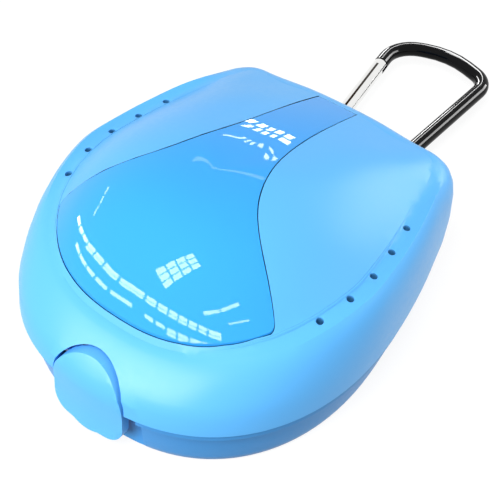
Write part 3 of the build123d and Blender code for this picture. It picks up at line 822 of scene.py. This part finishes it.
def latch_ledge(material):
    """Rib behind the flap's round top: the flap is thicker there, as far as its pocket allows."""
    verts, faces = [], []
    for turn in LEDGE_TURNS + [180 - turn for turn in reversed(LEDGE_TURNS[:-1])]:
        across, up = math.cos(math.radians(turn)), math.sin(math.radians(turn))
        back = latch_back(LEDGE_RADIUS * across, LATCH_ARCH_Z + LEDGE_RADIUS * up)
        for radius in (LEDGE_RADIUS, LEDGE_RADIUS - LEDGE_HEIGHT):
            for y in (back - LEDGE_OVERLAP, back + LEDGE_DEPTH):
                verts.append(Vector((radius * across, y, LATCH_ARCH_Z + radius * up)))
    corners = (0, 1, 3, 2)
    last = len(verts) // 4 - 1
    for i in range(last):
        for a, b in zip(corners, corners[1:] + corners[:1]):
            faces.append([4 * i + a, 4 * i + b, 4 * i + 4 + b, 4 * i + 4 + a])
    faces += [list(corners), [4 * last + c for c in reversed(corners)]]
    piece = new_piece("latch_ledge", "latch", material, verts, faces)
    rounding = piece.modifiers.new("rounding", "BEVEL")
    rounding.width = LEDGE_ROUNDING * MM
    rounding.segments = ROUNDING_SEGMENTS
    return piece


def crease_bead(name, side, material):
    """Fine raised line where the dome meets the valley of the vents, fading out at both ends."""
    table = crease_table()
    lid = BVHTree.FromObject(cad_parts["lid_shell"], bpy.context.evaluated_depsgraph_get())
    verts, faces = [], []
    for i in range(BEAD_STEPS + 1):
        turn = math.radians(mix(*BEAD_TURNS, i / BEAD_STEPS))
        reach = table_values(table, turn)[0] * BEAD_SHARE
        out = Vector((side * math.sin(turn), -math.cos(turn), 0))
        place = Vector((0, CROWN_Y, 0)) + out * reach
        size = clamp(min(i, BEAD_STEPS - i) / BEAD_FADE, BEAD_END)
        for across, up in BEAD_SECTION:
            point = place + out * across * size
            above = Vector((point.x, point.y, 2 * CROWN_Z)) * MM
            top = lid.ray_cast(above, Vector((0, 0, -1)))[0].z / MM
            verts.append(Vector((point.x, point.y, top + up * (size if up > 0 else 1))))
    count = len(BEAD_SECTION)
    for i in range(BEAD_STEPS):
        for j in range(count):
            k = (j + 1) % count
            face = [count * i + j, count * i + k, count * (i + 1) + k, count * (i + 1) + j]
            faces.append(face if side < 0 else face[::-1])
    ends = [list(range(count)), [count * BEAD_STEPS + j for j in reversed(range(count))]]
    faces += [end[::-1] for end in ends] if side < 0 else ends
    return new_piece(name, "lid", material, verts, faces)


def panel_skin(material):
    """The gloss panel as one smooth dome with a rounded edge, a wall and a floor."""
    table = even_table(crease_table())
    outline = top_outline("gloss_panel")
    inner = inset_outline(outline, PANEL_ROUNDING)
    top, faces, rim = filled(inner)
    verts = [Vector((p.x, p.y, crown_height(table, p.x, p.y))) for p in top]
    normals = [crown_normal(table, p.x, p.y) for p in top]
    floor = len(verts)
    verts += [v - Vector((0, 0, PANEL_THICKNESS)) for v in verts]
    normals += [-n for n in normals]
    faces += [[i + floor for i in reversed(face)] for face in faces]
    rings = [rim]
    for share, drop in PANEL_EDGE:
        rings.append(list(range(len(verts), len(verts) + len(outline))))
        for i, (edge, start) in enumerate(zip(outline, inner)):
            place = start.lerp(edge, share)
            height = verts[rim[i]].z - drop * PANEL_ROUNDING
            verts.append(Vector((place.x, place.y, height)))
            out = (edge - start).normalized()
            facing = normals[rim[i]] * max(0, 1 - drop) + Vector((out.x, out.y, 0))
            normals.append(facing.normalized())
    rings.append([i + floor for i in rim])
    for upper, lower in zip(rings, rings[1:]):
        for i in range(len(upper)):
            j = (i + 1) % len(upper)
            faces.append([upper[i], lower[i], lower[j], upper[j]])
    piece = new_piece("gloss_panel_skin", "lid", material, verts, faces, normals)
    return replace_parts(piece, "gloss_panel")


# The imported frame
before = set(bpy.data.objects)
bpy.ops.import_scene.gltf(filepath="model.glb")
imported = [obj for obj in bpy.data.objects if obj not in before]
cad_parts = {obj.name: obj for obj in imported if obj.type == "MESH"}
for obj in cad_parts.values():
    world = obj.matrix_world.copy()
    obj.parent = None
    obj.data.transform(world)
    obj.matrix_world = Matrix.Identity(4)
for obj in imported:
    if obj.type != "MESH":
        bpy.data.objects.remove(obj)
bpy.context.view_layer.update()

bpy.context.scene.view_settings.view_transform = "Standard"

# Finishes of the CAD nodes
satin = satin_plastic("satin_blue_plastic", SKY_BLUE, specular=0.25)
# A darker copy of the satin for the base, which is painted shade
painted_shade_satin = satin_plastic("satin_blue_base_painted_shade", PAINTED_SHADE_BASE_BLUE, specular=0.14)
gloss = gloss_plastic()
black = black_finish()
chrome = metal("chrome_gate", CHROME, rough_low=0.04, rough_high=0.09)
steel = metal("steel_pin", STEEL, rough_low=0.25, rough_high=0.4)
FINISHES = {
    "base_shell": painted_shade_satin,
    "lid_shell": satin,
    "latch_flap": satin,
    "gloss_panel": gloss,
    "carabiner_body": black,
    "carabiner_gate": chrome,
    "hinge_pin": steel,
    "latch_pin": steel,
    "nose_pin": steel,
    "gate_rivet": steel,
    "gate_spring": steel,
    "gate_plunger": steel,
}
for node_name, finish in FINISHES.items():
    assign(node_name, finish)
    smoothed(node_name)

# Pieces that only the scene has
skin = panel_skin(gloss)
ledge = latch_ledge(satin)
# The seam's groove is geometry, and its dark brown is a painted reflection
gate_seam_painted_reflection(metal("seam_painted_reflection", SEAM_PAINTED_REFLECTION_BROWN, rough_low=0.3, rough_high=0.4))
beads = [crease_bead("crease_bead_left", -1, satin), crease_bead("crease_bead_right", 1, satin)]

# Sets of pieces that some lamps are kept to
shells = [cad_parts[n] for n in ("base_shell", "lid_shell", "latch_flap")]
gather("satin_pieces", shells + [ledge] + beads)
gather("gloss_pieces", [skin])
gather("rod_pieces", [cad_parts["carabiner_body"]])

# Camera and studio
add_camera()
add_world()
add_floor()
add_wide_lamps()
for row in PANE_ROWS:
    add_pane_row(*row)
add_window()
add_sheen_lamps()
add_rod_lamps()
